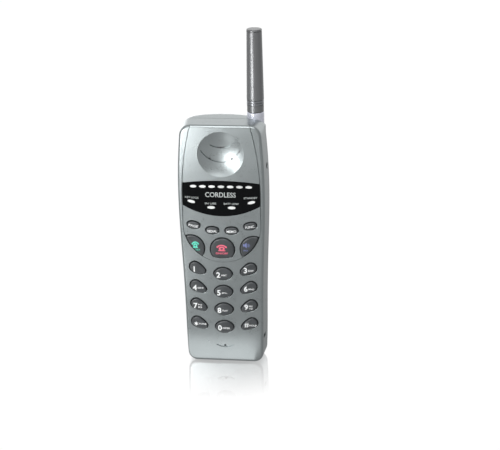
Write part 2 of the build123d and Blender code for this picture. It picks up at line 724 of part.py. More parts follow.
def build_rear_housing():
    """The rear shell: closed top part, shelf, and the plate the battery lies on."""
    high = block(-FAR, FAR, 0, FAR, BAY_TOP, 4 * FAR)
    shell = (OUTER - INNER) & high
    shell += OUTER & block(-FAR, FAR, 0, FAR, BAY_TOP, BAY_TOP + SHELF)
    shell += OUTER & block(-FAR, FAR, 0, PLATE_BACK, -1, BAY_TOP + SHELF)
    shell += INNER & block(-FAR, FAR, PLATE_FRONT, 0, -1, BAY_TOP + SHELF)
    shell += latch_tray(1.2) & OUTER
    shell -= latch_tray(0)
    x, z, radius = RINGER
    shell += round_y(x, z, radius + 1.2, RINGER_DEPTHS[1], FAR) & OUTER
    for slot in ringer_slots():
        shell -= slot
    back_half = block(0, FAR, 0, FAR, 0, 4 * FAR)
    shell += antenna_bar(ANTENNA_BASE_RADIUS + 0.9, 143.0, 157.5) & back_half
    shell += antenna_bar(ANTENNA_BASE_RADIUS, SOCKET_FOOT - 1.5, SOCKET_FOOT) & back_half
    shell -= antenna_bar(ANTENNA_BASE_RADIUS, SOCKET_FOOT, 4 * FAR)
    x, z = SCREWS[4]
    shell += round_y(x, z, BOSS_RADIUS + 0.9, PLATE_FRONT, FAR) & OUTER
    shell -= block(*CATCH_SLOT, BAY_TOP - 1, BAY_TOP + SHELF + 1)
    for x in (-HOOK_X, HOOK_X):
        reach = HOOK_HALF + 0.3
        shell -= block(x - reach, x + reach, 0.0, PLATE_BACK + 1, 1.6, 6.0)
    for x, z in SCREWS:
        shell -= round_y(x, z, SCREW_RADIUS + 2 * SCREW_FIT, -FAR, FAR)
        shell -= round_y(x, z, COUNTERBORE, SCREW_SEAT, FAR)
    for x in TERMINAL_X:
        shell -= block(x - 1.3, x + 1.3, -3, 3, 106.0, 112.0)
    keep("rear_housing", shell)


def build_screws():
    """Five pan-head screws that pull the two shells together."""
    radius, height = SCREW_HEAD
    half, reach, depth = SCREW_SLOT
    top = SCREW_SEAT + height
    screws = []
    for x, z in SCREWS:
        head = round_y(x, z, radius, SCREW_SEAT, top)
        head -= block(x - half, x + half, top - depth, top + 1, z - reach, z + reach)
        screws.append(head + round_y(x, z, SCREW_RADIUS, -9.0, SCREW_SEAT))
    keep("housing_screws", *screws)


def build_latch():
    """The sliding battery latch and its spring."""
    latch = block(*LATCH)
    latch = fillet(latch.edges().group_by(Axis.Y)[-1], 0.6)
    for z in LATCH_RIBS:
        rib = block(-6.5, 6.5, 15.0, 16.0, z, z + 0.9)
        latch += fillet(rib.edges().group_by(Axis.Y)[-1], 0.35)
    keep("battery_latch", latch)
    catch = block(*CATCH)
    keep("latch_catch", chamfer(catch.edges().filter_by(Axis.X).sort_by(Axis.Z)[:2], 0.6))
    keep("latch_spring", Pos(0, 13.8, 0) * coil(1.2, 0.22, 1.2, 130.3, 4))


# ---------------------------------------------------------------- battery
def terminal(x, front):
    """A flat contact pad let into the pack's base plate."""
    return block(x - 1.5, x + 1.5, front, BATTERY_FRONT + TERMINAL_DEPTH, 104.0, 114.5)


def spring_contact(x):
    """A contact holder in the plate with its pin against the pack."""
    holder = block(x - 1.3, x + 1.3, PLATE_FRONT - 0.6, PLATE_BACK, 106.0, 112.0)
    return holder + round_y(x, 109.0, 0.7, PLATE_BACK, BATTERY_FRONT - RUNNING_FIT)


def build_battery():
    """The battery that tilts out about its two bottom hooks: shell, base plate, cells, terminals."""
    top = BAY_TOP - BATTERY_GAP
    body = OUTER & block(-FAR, FAR, BATTERY_FRONT, FAR, 0, top)
    split = BATTERY_FRONT + BATTERY_SPLIT
    hollow = envelope(PACK_WALL, FACE_WALL, PACK_WALL, WALL)
    hollow &= block(-FAR, FAR, split, FAR, PACK_WALL + 0.2, top - PACK_WALL - 0.2)
    shell = (body & block(-FAR, FAR, split, FAR, 0, top)) - hollow
    shell -= block(-4.4, 4.4, 11.9, 14.4, top - 3, top + 1)
    for z in GRIPS:
        shell -= through(Pos(0, z) * SlotOverall(*GRIP_SIZE), GRIP_FLOOR, FAR)
    keep("battery_shell", shell)
    base = body & block(-FAR, FAR, BATTERY_FRONT, split, 0, top)
    axis_y, axis_z = BATTERY_FRONT + HINGE_ROUND, HINGE_ROUND
    edge = block(-FAR, FAR, BATTERY_FRONT - 1, axis_y, -1, axis_z)
    base -= edge - round_x(axis_y, axis_z, HINGE_ROUND, -FAR, FAR)
    for x in (-HOOK_X, HOOK_X):
        base += block(x - HOOK_HALF, x + HOOK_HALF, 0.3, BATTERY_FRONT, 2.0, 3.8)
    for x in TERMINAL_X:
        base -= terminal(x, BATTERY_FRONT - 1)
    keep("battery_base", base)
    keep("battery_terminals", *[terminal(x, BATTERY_FRONT) for x in TERMINAL_X])
    places = [(x, z) for x in (-CELL_X, CELL_X) for z in CELL_FEET]
    keep("battery_cells", *[round_z(x, CELL_Y, CELL_RADIUS, z, z + CELL_LENGTH) for x, z in places])
    keep("battery_contacts", *[spring_contact(x) for x in TERMINAL_X])


def build_all():
    """Build every node and write it to its own file."""
    build_front_housing()
    build_face_panel()
    build_window()
    build_keys()
    build_keypad_mat()
    build_boards()
    build_lamps()
    build_sound_parts()
    build_side_fittings()
    build_antenna()
    build_rear_housing()
    build_screws()
    build_latch()
    build_battery()
    os.makedirs("parts", exist_ok=True)
    for name, solid in NODES.items():
        export_step(solid, f"parts/{name}.step")
        print(name, round(solid.volume, 1))


build_all()
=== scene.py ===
"""Looks of a long-range cordless handset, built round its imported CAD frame."""

import logging
from dataclasses import dataclass, field
from enum import Enum
from math import cos, pi, radians, sin
from typing import Any, Callable, Sequence

import bmesh
import bpy
import numpy as np
from mathutils import Matrix, Vector


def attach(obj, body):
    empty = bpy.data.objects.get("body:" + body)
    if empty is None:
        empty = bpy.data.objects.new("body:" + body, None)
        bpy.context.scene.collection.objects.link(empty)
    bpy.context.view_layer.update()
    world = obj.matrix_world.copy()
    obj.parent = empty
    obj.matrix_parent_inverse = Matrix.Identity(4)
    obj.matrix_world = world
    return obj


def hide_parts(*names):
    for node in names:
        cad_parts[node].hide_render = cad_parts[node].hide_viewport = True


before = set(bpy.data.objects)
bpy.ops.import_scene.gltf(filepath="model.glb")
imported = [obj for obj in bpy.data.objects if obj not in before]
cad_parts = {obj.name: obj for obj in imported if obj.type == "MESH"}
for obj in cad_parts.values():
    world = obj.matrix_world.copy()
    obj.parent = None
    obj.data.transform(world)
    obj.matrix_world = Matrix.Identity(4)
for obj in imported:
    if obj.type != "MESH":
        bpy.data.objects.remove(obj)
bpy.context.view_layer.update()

LOG = logging.getLogger("handset")
MM = 0.001
HOME = "handset"  # the body that everything else moves against
WHITE = (1.0, 1.0, 1.0, 1.0)
SHARP_EDGE = 40.0  # degrees past which an edge is left sharp
DOUBLES = 1e-7  # metres within which two points are one
NOISE_RANGE = (0.3, 0.7)  # where nearly all of a noise lies
MIX_FACTOR, MIX_FIRST, MIX_SECOND, MIX_RESULT = 0, 6, 7, 2  # sockets of a Mix node on colours
Depth = Callable[[np.ndarray, np.ndarray], np.ndarray]  # x and z in metres to y


# ---------------------------------------------------------------- shader building
class Value:
    """A socket that takes part in Python expressions; each operation adds a Math node."""

    def __init__(self, shader: "Shader", socket: Any) -> None:
        """Keep the shader and the socket."""
        self.shader = shader
        self.socket = socket

    def _math(self, operation: str, first: Any, second: Any) -> "Value":
        """Add one Math node.

        Args:
            operation: the node's operation.
            first: a Value or a number.
            second: a Value or a number.

        Returns:
            The result as a Value.
        """
        return self.shader.node("ShaderNodeMath", {"operation": operation}, [first, second])

    def __add__(self, other: Any) -> "Value":
        """Sum."""
        return self._math("ADD", self, other)

    __radd__ = __add__

    def __mul__(self, other: Any) -> "Value":
        """Product."""
        return self._math("MULTIPLY", self, other)

    __rmul__ = __mul__

    def __gt__(self, other: Any) -> "Value":
        """1 where this is the greater."""
        return self._math("GREATER_THAN", self, other)


class Shader:
    """One material under construction, with a Principled shader at its end."""

    def __init__(self, name: str, color: Sequence[float], **constants: float) -> None:
        """Start a material.

        Args:
            name: the material's name.
            color: linear base colour, three numbers.
            **constants: Principled sockets by name, with _ for a space.
        """
        self.material = bpy.data.materials.new(name)
        self.material.use_nodes = True
        self.tree = self.material.node_tree
        self.principled = self.tree.nodes["Principled BSDF"]
        self.principled.inputs["Base Color"].default_value = (*color, 1.0)
        self.material.diffuse_color = (*color, 1.0)
        for key, value in constants.items():
            self.principled.inputs[key.replace("_", " ")].default_value = value

    def node(self, kind: str, settings: dict[str, Any], inputs: Any, output: int | str = 0) -> Value:
        """Add a node.

        Args:
            kind: the node's type.
            settings: attributes, set before the sockets.
            inputs: values or links, by position or by socket name.
            output: which output to return, by position or by name.

        Returns:
            The chosen output as a Value.
        """
        made = self.tree.nodes.new(kind)
        for key, value in settings.items():
            setattr(made, key, value)
        pairs = inputs.items() if isinstance(inputs, dict) else enumerate(inputs)
        for key, value in pairs:
            self.join(value, made.inputs[key])
        return Value(self, made.outputs[output])

    def join(self, value: Any, socket: Any) -> None:
        """Link a Value to a socket, or set the socket to a number or colour.

        Args:
            value: the Value, number or colour.
            socket: the socket that takes it.
        """
        if isinstance(value, Value):
            self.tree.links.new(value.socket, socket)
        else:
            socket.default_value = value

    def place(self) -> Value:
        """Object coordinates."""
        return self.node("ShaderNodeTexCoord", {}, [], "Object")

    def noise(self, size: float, detail: float = 2.0) -> Value:
        """Noise whose grains are about size metres, from 0 to 1."""
        inputs = {"Vector": self.place(), "Scale": 1.0 / size, "Detail": detail}
        return self.node("ShaderNodeTexNoise", {}, inputs)

    def stretched_noise(self, size: float, squeeze: Sequence[float]) -> Value:
        """Noise drawn out along the axes whose squeeze is small."""
        mapped = self.node("ShaderNodeMapping", {}, {"Vector": self.place(), "Scale": tuple(squeeze)})
        return self.node("ShaderNodeTexNoise", {}, {"Vector": mapped, "Scale": 1.0 / size, "Detail": 3.0})

    def spread(self, value: Value, low: float, high: float, start: float = 0.0, stop: float = 1.0) -> Value:
        """Map start..stop to low..high, held at the ends."""
        return self.node("ShaderNodeMapRange", {}, [value, start, stop, low, high])

    def blend(self, factor: Any, first: Any, second: Any) -> Value:
        """Mix two colours.

        Args:
            factor: how much of the second, a Value or a number.
            first: a Value or three numbers.
            second: a Value or three numbers.

        Returns:
            The mixed colour.
        """
        inputs = {MIX_FACTOR: factor}
        for key, color in ((MIX_FIRST, first), (MIX_SECOND, second)):
            inputs[key] = color if isinstance(color, Value) else (*color, 1.0)
        return self.node("ShaderNodeMix", {"data_type": "RGBA"}, inputs, MIX_RESULT)

    def color(self, value: Any) -> None:
        """Drive the base colour."""
        self.join(value, self.principled.inputs["Base Color"])

    def roughness(self, value: Any) -> None:
        """Drive the roughness."""
        self.join(value, self.principled.inputs["Roughness"])

    def bump(self, height: Value, depth: float) -> None:
        """Feed a height to the normal through a Bump node, depth in metres."""
        made = self.node("ShaderNodeBump", {}, {"Height": height, "Distance": depth, "Strength": 1.0})
        self.join(made, self.principled.inputs["Normal"])


def shade(color: Sequence[float], factor: float) -> tuple[float, ...]:
    """A colour made lighter or darker by a factor."""
    return tuple(min(1.0, c * factor) for c in color)


# ---------------------------------------------------------------- finishes
@dataclass(frozen=True)
class MetallicPaint:
    """Satin metallic paint over moulded plastic: flakes, slow mottling, orange peel, a clear coat."""

    name: str
    color: tuple[float, float, float]
    metallic: float = 0.55
    rough: float = 0.36
    coat: float = 0.25
    flake: float = 0.00022  # size of the flakes, as all sizes in metres
    mottle: float = 0.018  # size of the slow changes of tone
    patch: float = 0.006  # size of the patches of other gloss
    peel: float = 0.0009  # size and depth of the orange peel
    peel_depth: float = 0.000012
    contrast: float = 0.1  # how far the tone strays
    uneven: float = 0.05  # how far the roughness strays

    def material(self) -> bpy.types.Material:
        """Build the material.

        Returns:
            The paint.
        """
        s = Shader(self.name, self.color, Metallic=self.metallic, Coat_Weight=self.coat, Coat_Roughness=0.16)
        flakes = s.noise(self.flake, 1.0)
        tone = s.spread(flakes * 0.7 + s.noise(self.mottle) * 0.3, 0.0, 1.0, *NOISE_RANGE)
        s.color(s.blend(tone, shade(self.color, 1 - self.contrast), shade(self.color, 1 + self.contrast)))
        gloss = flakes * 0.5 + s.noise(self.patch) * 0.5
        s.roughness(s.spread(gloss, self.rough - self.uneven, self.rough + self.uneven, *NOISE_RANGE))
        s.bump(s.noise(self.peel), self.peel_depth)
        return s.material


@dataclass(frozen=True)
class Moulding:
    """Moulded plastic with a fine spark-eroded grain and faint handling polish."""

    name: str
    color: tuple[float, float, float]
    rough: float = 0.45
    grain: float = 0.00035
    depth: float = 0.000015
    coat: float = 0.0
    clear: float = 0.0
    worn: float = 0.009  # size of the patches polished by handling
    contrast: float = 0.14  # how far the tone strays
    uneven: float = 0.06  # how far the roughness strays

    def material(self) -> bpy.types.Material:
        """Build the material.

        Returns:
            The moulded plastic.
        """
        looks = {"Coat_Weight": self.coat, "Coat_Roughness": 0.12, "Transmission_Weight": self.clear}
        s = Shader(self.name, self.color, **looks)
        worn = s.noise(self.worn, 3.0)
        tone = s.spread(worn, 0.0, 1.0, 0.35, 0.65)
        s.color(s.blend(tone, shade(self.color, 1 - self.contrast), shade(self.color, 1 + self.contrast)))
        s.roughness(s.spread(worn, self.rough - self.uneven, self.rough + self.uneven, *NOISE_RANGE))
        s.bump(s.noise(self.grain), self.depth)
        return s.material


@dataclass(frozen=True)
class BlackGlass:
    """Gloss black acrylic with the faintest ripple, dust and fine wipe marks."""

    name: str
    color: tuple[float, float, float] = (0.004, 0.0045, 0.005)
    rough: float = 0.09
    wipe: float = 0.0007  # breadth of the wipe marks, which run up and down
    speck: float = 0.0004  # size of a speck of dust
    ripple: float = 0.012
    ripple_depth: float = 0.00002

    def material(self) -> bpy.types.Material:
        """Build the material.

        Returns:
            The gloss acrylic.
        """
        s = Shader(self.name, self.color, Specular_IOR_Level=0.12)
        wipes = s.stretched_noise(self.wipe, (1.0, 1.0, 0.12))
        s.roughness(s.spread(wipes, self.rough, self.rough + 0.1, 0.45, 0.75))
        dust = s.noise(self.speck, 1.0) > 0.71
        s.color(s.blend(dust * 0.05, self.color, (0.2, 0.2, 0.2)))
        s.bump(s.noise(self.ripple, 1.0), self.ripple_depth)
        return s.material


@dataclass(frozen=True)
class Metal:
    """Plated, turned or drawn metal with marks along one axis and light tarnish."""

    name: str
    color: tuple[float, float, float]
    rough: float = 0.28
    squeeze: tuple[float, float, float] = (1.0, 1.0, 0.08)
    mark: float = 0.00018  # breadth and depth of the tool marks
    mark_depth: float = 0.000006
    tarnish: float = 0.004  # size of the dull patches

    def material(self) -> bpy.types.Material:
        """Build the material.

        Returns:
            The metal.
        """
        s = Shader(self.name, self.color, Metallic=1.0)
        marks = s.stretched_noise(self.mark, self.squeeze)
        dull = s.spread(s.noise(self.tarnish, 3.0), 0.0, 1.0, 0.35, 0.7)
        s.color(s.blend(dull, self.color, shade(self.color, 0.72)))
        s.roughness(s.spread(marks, self.rough - 0.07, self.rough + 0.1, *NOISE_RANGE))
        s.bump(marks, self.mark_depth)
        return s.material


@dataclass(frozen=True)
class SolderMask:
    """Green board lacquer over faint copper tracks."""

    name: str
    color: tuple[float, float, float] = (0.012, 0.12, 0.045)
    tracks_per_metre: float = 260.0
    track_height: float = 0.00003

    def material(self) -> bpy.types.Material:
        """Build the material.

        Returns:
            The lacquered board.
        """
        s = Shader(self.name, self.color, Roughness=0.3, Coat_Weight=0.3)
        inputs = {"Vector": s.place(), "Scale": self.tracks_per_metre}
        tracks = s.node("ShaderNodeTexBrick", {"offset": 0.5}, inputs, "Fac")
        s.color(s.blend(tracks, self.color, shade(self.color, 1.9)))
        s.bump(tracks, self.track_height)
        return s.material


@dataclass(frozen=True)
class Ink:
    """Printed ink: slightly uneven cover, a soft sheen and a painted glow, an emission that brightens it
    without any lamp.
    """

    name: str
    color: tuple[float, float, float]
    # painted light: emission strength that makes the ink glow though it is no lamp
    glow: float = 0.0
    cover: float = 0.0004  # size of the thinner spots in the ink
    cover_depth: float = 0.000008

    def material(self) -> bpy.types.Material:
        """Build the material.

        Returns:
            The ink.
        """
        # the emission is painted light: the ink glows by its glow strength, as if lit
        s = Shader(self.name, self.color, Roughness=0.5, Emission_Strength=self.glow)
        s.principled.inputs["Emission Color"].default_value = (*self.color, 1.0)
        cover = s.noise(self.cover)
        s.color(s.blend(s.spread(cover, 0.0, 1.0, 0.3, 0.6), shade(self.color, 0.9), self.color))
        s.bump(cover, self.cover_depth)
        return s.material


@dataclass(frozen=True)
class CellWrap:
    """Shrink-wrapped cell: a coloured sleeve with a silver band along each cell."""

    name: str
    color: tuple[float, float, float] = (0.04, 0.12, 0.34)
    band_color: tuple[float, float, float] = (0.6, 0.6, 0.62)
    wrinkle: float = 0.0006
    wrinkle_depth: float = 0.00001

    def material(self) -> bpy.types.Material:
        """Build the material.

        Returns:
            The cell's sleeve.
        """
        s = Shader(self.name, self.color, Roughness=0.3, Coat_Weight=0.4)
        inputs = {"Vector": s.place(), "Scale": 7.0}
        wave = s.node("ShaderNodeTexWave", {"bands_direction": "Z"}, inputs, "Fac")
        s.color(s.blend(wave > 0.8, self.color, self.band_color))
        s.bump(s.noise(self.wrinkle), self.wrinkle_depth)
        return s.material


class Finish(Enum):
    """Every finish of the handset, by the thing it is on."""

    SHELL = MetallicPaint("silver_shell", (0.392, 0.432, 0.438), metallic=0.78, rough=0.31)
    BATTERY = MetallicPaint("silver_battery", (0.365, 0.402, 0.408), metallic=0.78, rough=0.31)
    FERRULE = MetallicPaint("bright_ferrule", (0.8, 0.82, 0.93), metallic=0.35, rough=0.26, coat=0.5)
    RING = MetallicPaint("ring_grey", (0.3, 0.31, 0.33), metallic=0.6, rough=0.3)
    ANTENNA = MetallicPaint("antenna_paint", (0.225, 0.23, 0.236), metallic=0.55, rough=0.36, coat=0.3)
    WINDOW = BlackGlass("gloss_window")
    LENS = Moulding("milky_lens", (0.86, 0.88, 0.87), rough=0.2, grain=0.0008, depth=0.000006, coat=0.4)
    KEY = Moulding("key_plastic", (0.062, 0.068, 0.072), 0.34, grain=0.00025, depth=0.000014, coat=0.25)
    SILICONE = Moulding("silicone_rubber", (0.55, 0.56, 0.55), rough=0.5)
    BLACK = Moulding("black_plastic", (0.016, 0.016, 0.018), rough=0.5)
    RUBBER = Moulding("black_rubber", (0.012, 0.012, 0.012), rough=0.7, grain=0.0006, depth=0.00003)
    CHIP = Moulding("chip_epoxy", (0.012, 0.012, 0.013), rough=0.6, grain=0.0002)
    ACRYLIC = Moulding("acrylic_guide", (0.9, 0.92, 0.92), rough=0.08, clear=0.85, depth=0.000004)
    BOARD = SolderMask("board_lacquer")
    TIN = Metal("tinned_sheet", (0.62, 0.62, 0.6), 0.3, (1.0, 1.0, 1.0))
    STEEL = Metal("plated_steel", (0.55, 0.56, 0.57), 0.24, (1.0, 0.1, 1.0))
    PRESSED = Metal("pressed_steel", (0.36, 0.36, 0.37), 0.35, (1.0, 1.0, 1.0))
    BRASS = Metal("turned_brass", (0.62, 0.44, 0.2), 0.25)
    GOLD = Metal("gold_plate", (0.86, 0.62, 0.25), 0.2, (1.0, 1.0, 1.0))
    CELL = CellWrap("cell_sleeve")
    # the third number of each ink is its painted glow, an emission that brightens the print without any lamp
    WHITE_INK = Ink("white_ink", (0.86, 0.88, 0.88), 0.12)
    WORD_INK = Ink("silver_ink", (0.5, 0.54, 0.53), 0.05)
    GREEN_INK = Ink("green_ink", (0.13, 0.74, 0.56), 0.12)
    RED_INK = Ink("red_ink", (0.86, 0.16, 0.24), 0.12)
    BLUE_INK = Ink("blue_ink", (0.2, 0.23, 0.46), 0.05)

    def material(self) -> bpy.types.Material:
        """The material, built on first use; no CAD material has the name of a finish."""
        return bpy.data.materials.get(self.value.name) or self.value.material()


def dress(thing: bpy.types.Object, finish: Finish) -> None:
    """Give an object one finish in every material slot, with a slot made where it has none.

    Args:
        thing: the object.
        finish: its finish.
    """
    if not thing.material_slots:
        thing.data.materials.append(None)
    for place in thing.material_slots:
        place.material = finish.material()


def dress_nodes(finish: Finish, *names: str) -> None:
    """Give CAD nodes a finish.

    Args:
        finish: the finish.
        *names: the nodes.
    """
    for name in names:
        dress(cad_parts[name], finish)
        LOG.info("finish %s on %s", finish.value.name, name)


# ---------------------------------------------------------------- surfaces
def skin(name: str, points: np.ndarray) -> bpy.types.Object:
    """Make a closed mesh from a stack of rings: four-sided faces between them, one face at each end.

    Args:
        name: the piece's name.
        points: rings x points of a ring x 3, in metres.

    Returns:
        The object.
    """
    rings, around = points.shape[:2]
    left = np.arange(rings * around).reshape(rings, around)
    right = np.roll(left, -1, 1)
    quads = np.stack([left[:-1], right[:-1], right[1:], left[1:]], -1).reshape(-1, 4)
    faces = [*quads.tolist(), left[0, ::-1].tolist(), left[-1].tolist()]
    return solid(name, points.reshape(-1, 3), faces)


def solid(name: str, points: np.ndarray, faces: list[list[int]]) -> bpy.types.Object:
    """Make an object with smooth shading and outward normals.

    Args:
        name: the piece's name.
        points: its points, in metres.
        faces: the points of each face.

    Returns:
        The object.
    """
    mesh = bpy.data.meshes.new(name)
    mesh.from_pydata(points.tolist(), [], faces)
    thing = bpy.data.objects.new(name, mesh)
    bpy.context.scene.collection.objects.link(thing)
    tidy_mesh(thing)
    return thing


def tidy_mesh(thing: bpy.types.Object) -> None:
    """Merge doubles, turn faces outward and shade smooth but for sharp edges.

    Args:
        thing: the object to tidy.
    """
    work = bmesh.new()
    work.from_mesh(thing.data)
    bmesh.ops.remove_doubles(work, verts=work.verts, dist=DOUBLES)
    bmesh.ops.recalc_face_normals(work, faces=work.faces)
    work.to_mesh(thing.data)
    work.free()
    thing.data.shade_smooth()
    thing.data.set_sharp_from_angle(angle=radians(SHARP_EDGE))


def reach_of(outline: np.ndarray, centre: np.ndarray, inset: float, angles: np.ndarray) -> np.ndarray:
    """Distance from a centre to the edge of a convex outline moved inward, for each angle.

    The outline is the overlap of half planes: each direction f allows points up to
    support(f) - inset, so the distance at angle a is the least of that over cos(a - f).

    Args:
        outline: points whose hull is the outline.
        centre: a point inside it.
        inset: how far the edge moves inward.
        angles: where to measure, in radians.

    Returns:
        One distance for each angle.
    """
    facing = np.linspace(0, 2 * pi, 361)[:-1]
    ways = np.stack([np.cos(facing), np.sin(facing)])
    support = ((outline - centre) @ ways).max(0) - inset
    across = np.cos(angles[:, None] - facing[None, :])
    square_on = 0.02  # below this a half plane's edge runs nearly along the ray
    with np.errstate(divide="ignore"):
        reach = np.where(across > square_on, support[None, :] / across, np.inf)
    return reach.min(1)


def node_points(name: str) -> np.ndarray:
    """All vertices of a CAD node.

    Args:
        name: the node.

    Returns:
        One row of x, y and z in metres for each vertex.
    """
    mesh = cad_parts[name].data
    points = np.empty(len(mesh.vertices) * 3)
    mesh.vertices.foreach_get("co", points)
    return points.reshape(-1, 3)


# ---------------------------------------------------------------- printing
INK_DEPTH = 0.02 * MM
Rings = list[np.ndarray]


def arc(x: float, y: float, radius: float, start: float, stop: float, count: int = 20) -> np.ndarray:
    """Points along a circle about x, y from one angle to another, in degrees."""
    angles = np.radians(np.linspace(start, stop, count))
    return np.stack([x + radius * np.cos(angles), y + radius * np.sin(angles)], -1)


def band(x: float, y: float, inner: float, outer: float, start: float, stop: float) -> np.ndarray:
    """A ring sector: the outer arc one way, the inner arc back."""
    return np.vstack([arc(x, y, outer, start, stop), arc(x, y, inner, stop, start)])


def pad(x: float, y: float, width: float, height: float) -> np.ndarray:
    """A soft rectangle about x, y: a superellipse of power four.

    Args:
        x: its middle across.
        y: its middle up.
        width: its full width.
        height: its full height.

    Returns:
        28 points.
    """
    angles = np.linspace(0, 2 * pi, 29)[:-1]
    way = np.stack([np.cos(angles), np.sin(angles)], -1)
    return np.array([x, y]) + np.sign(way) * np.sqrt(np.abs(way)) * np.array([width, height]) / 2


class Symbol(Enum):
    """The plain pictures printed on keys."""

    PHONE = "phone"
    SPEAKER = "speaker"
    STAR = "star"

    def groups(self) -> list[Rings]:
        """The outlines, in any unit, because a mark is scaled to its own height.

        Returns:
            Groups of rings; inside a group each further ring is a hole in the first.
        """
        if self is Symbol.PHONE:
            receiver = [band(0.0, -1.1, 2.25, 3.15, 32.0, 148.0)]
            ends = [[pad(side * 2.25, 0.35, 1.0, 1.0)] for side in (-1, 1)]
            body = [arc(0.0, -0.75, 1.55, 0.0, 348.0, 30), arc(0.0, -0.75, 0.6, 0.0, 345.0, 18)]
            foot = [pad(0.0, -2.15, 3.9, 0.75)]
            return [receiver, *ends, body, foot]
        if self is Symbol.STAR:
            angles = np.radians(np.arange(0, 360, 30) + 90)
            reach = np.where(np.arange(12) % 2, 0.7, 1.7)
            return [[np.stack([reach * np.cos(angles), reach * np.sin(angles)], -1)]]
        box = [pad(-1.35, 0.0, 0.9, 1.5)]
        horn = [np.array([(-0.8, -0.7), (0.6, -1.8), (0.6, 1.8), (-0.8, 0.7)])]
        waves = [[band(0.2, 0.0, inner, inner + 0.32, -38.0, 38.0)] for inner in (1.1, 1.75)]
        return [box, horn, *waves]


@dataclass(frozen=True)
class Print:
    """One printed mark: words or a symbol, and where its middle goes on the face, in mm."""

    words: str | Symbol
    x: float
    z: float
    height: float
    width: float = 0.0  # 0 keeps the mark's own proportions
    weight: float = 0.0  # how much bolder than the plain letters
    turn: float = 0.0  # degrees
    ink: Finish = Finish.WHITE_INK

    def curves(self) -> list[bpy.types.Curve]:
        """The filled flat curves of this mark.

        Returns:
            One curve for words, one for each group of a symbol.
        """
        if isinstance(self.words, Symbol):
            return [ring_curve(rings) for rings in self.words.groups()]
        curve = bpy.data.curves.new("words", "FONT")
        curve.body = self.words
        curve.size = 1.0
        curve.offset = self.weight
        curve.resolution_u = 3
        return [curve]

    def shape(self) -> tuple[np.ndarray, list[list[int]]]:
        """The mark as closed solids of ink.

        Returns:
            Points (x across, y up, z through) in metres about the mark's own middle, and faces.
        """
        parts, faces, start = [], [], 0
        for curve in self.curves():
            points, own = filled(curve)
            parts.append(points)
            faces += [[i + start for i in face] for face in own]
            start += len(points)
        points, faces = cut_up(np.vstack(parts), faces)
        low, high = points.min(0), points.max(0)
        points = points - (low + high) / 2
        scale = self.height * MM / (high[1] - low[1])
        stretch = self.width * MM / ((high[0] - low[0]) * scale) if self.width else 1.0
        flat = points[:, :2] * scale * np.array([stretch, 1.0])
        turn = radians(self.turn)
        turned = flat @ np.array([[cos(turn), sin(turn)], [-sin(turn), cos(turn)]])
        return np.column_stack([turned, np.sign(points[:, 2]) * INK_DEPTH]), faces


def ring_curve(rings: Rings) -> bpy.types.Curve:
    """A flat filled curve from closed rings of points.

    Args:
        rings: the outline first, then its holes.

    Returns:
        The curve.
    """
    curve = bpy.data.curves.new("rings", "CURVE")
    curve.dimensions = "2D"
    curve.fill_mode = "BOTH"
    for ring in rings:
        spline = curve.splines.new("POLY")
        spline.points.add(len(ring) - 1)
        depth_and_weight = np.tile([0.0, 1.0], (len(ring), 1))
        spline.points.foreach_set("co", np.hstack([ring, depth_and_weight]).ravel())
        spline.use_cyclic_u = True
    return curve


def filled(curve: bpy.types.Curve) -> tuple[np.ndarray, list[list[int]]]:
    """Turn a flat curve into a thin closed mesh, then remove the curve.

    Args:
        curve: a text or flat curve about one unit high.

    Returns:
        Points and faces.
    """
    curve.extrude = 0.01
    holder = bpy.data.objects.new("flat", curve)
    bpy.context.scene.collection.objects.link(holder)
    bpy.context.view_layer.update()
    mesh = bpy.data.meshes.new_from_object(holder.evaluated_get(bpy.context.evaluated_depsgraph_get()))
    points = np.empty(len(mesh.vertices) * 3)
    mesh.vertices.foreach_get("co", points)
    faces = [list(face.vertices) for face in mesh.polygons]
    bpy.data.objects.remove(holder)
    bpy.data.meshes.remove(mesh)
    bpy.data.curves.remove(curve)
    return points.reshape(-1, 3), faces


def cut_up(points: np.ndarray, faces: list[list[int]], cuts: int = 6) -> tuple[np.ndarray, list[list[int]]]:
    """Cut a flat mesh along a square grid of lines, so that it can follow a rounded surface.

    Args:
        points: the mesh's points.
        faces: their faces.
        cuts: how many squares the mesh is high.

    Returns:
        The new points and faces.
    """
    work = bmesh.new()
    made = [work.verts.new(point) for point in points]
    for face in faces:
        work.faces.new([made[i] for i in face])
    step = (points[:, 1].max() - points[:, 1].min()) / cuts
    for axis in (0, 1):
        normal = (1.0, 0.0, 0.0) if axis == 0 else (0.0, 1.0, 0.0)
        for at in np.arange(points[:, axis].min() + step, points[:, axis].max(), step):
            every = work.verts[:] + work.edges[:] + work.faces[:]
            bmesh.ops.bisect_plane(work, geom=every, plane_co=[at * n for n in normal], plane_no=normal)
    work.verts.index_update()
    cut_points = np.array([vert.co for vert in work.verts])
    cut_faces = [[vert.index for vert in face.verts] for face in work.faces]
    work.free()
    return cut_points, cut_faces


def print_on(name: str, body: str, marks: Sequence[Print], depth_at: Depth) -> None:
    """Print marks on a face as thin raised ink, one piece for each ink.

    Args:
        name: the start of the pieces' names.
        body: the body they ride on.
        marks: what to print.
        depth_at: a function of x and z arrays in metres that gives the surface's y.
    """
    for ink in sorted({mark.ink for mark in marks}, key=lambda one: one.value.name):
        parts, faces, start = [], [], 0
        for mark in (one for one in marks if one.ink is ink):
            points, own = mark.shape()
            x = points[:, 0] + mark.x * MM
            z = points[:, 1] + mark.z * MM
            parts.append(np.column_stack([x, depth_at(x, z) - points[:, 2], z]))
            faces += [[i + start for i in face] for face in own]
            start += len(points)
        thing = solid(f"{name}_{ink.value.name}", np.vstack(parts), faces)
        dress(thing, ink)
        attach(thing, body)
        LOG.info("print %s", thing.name)


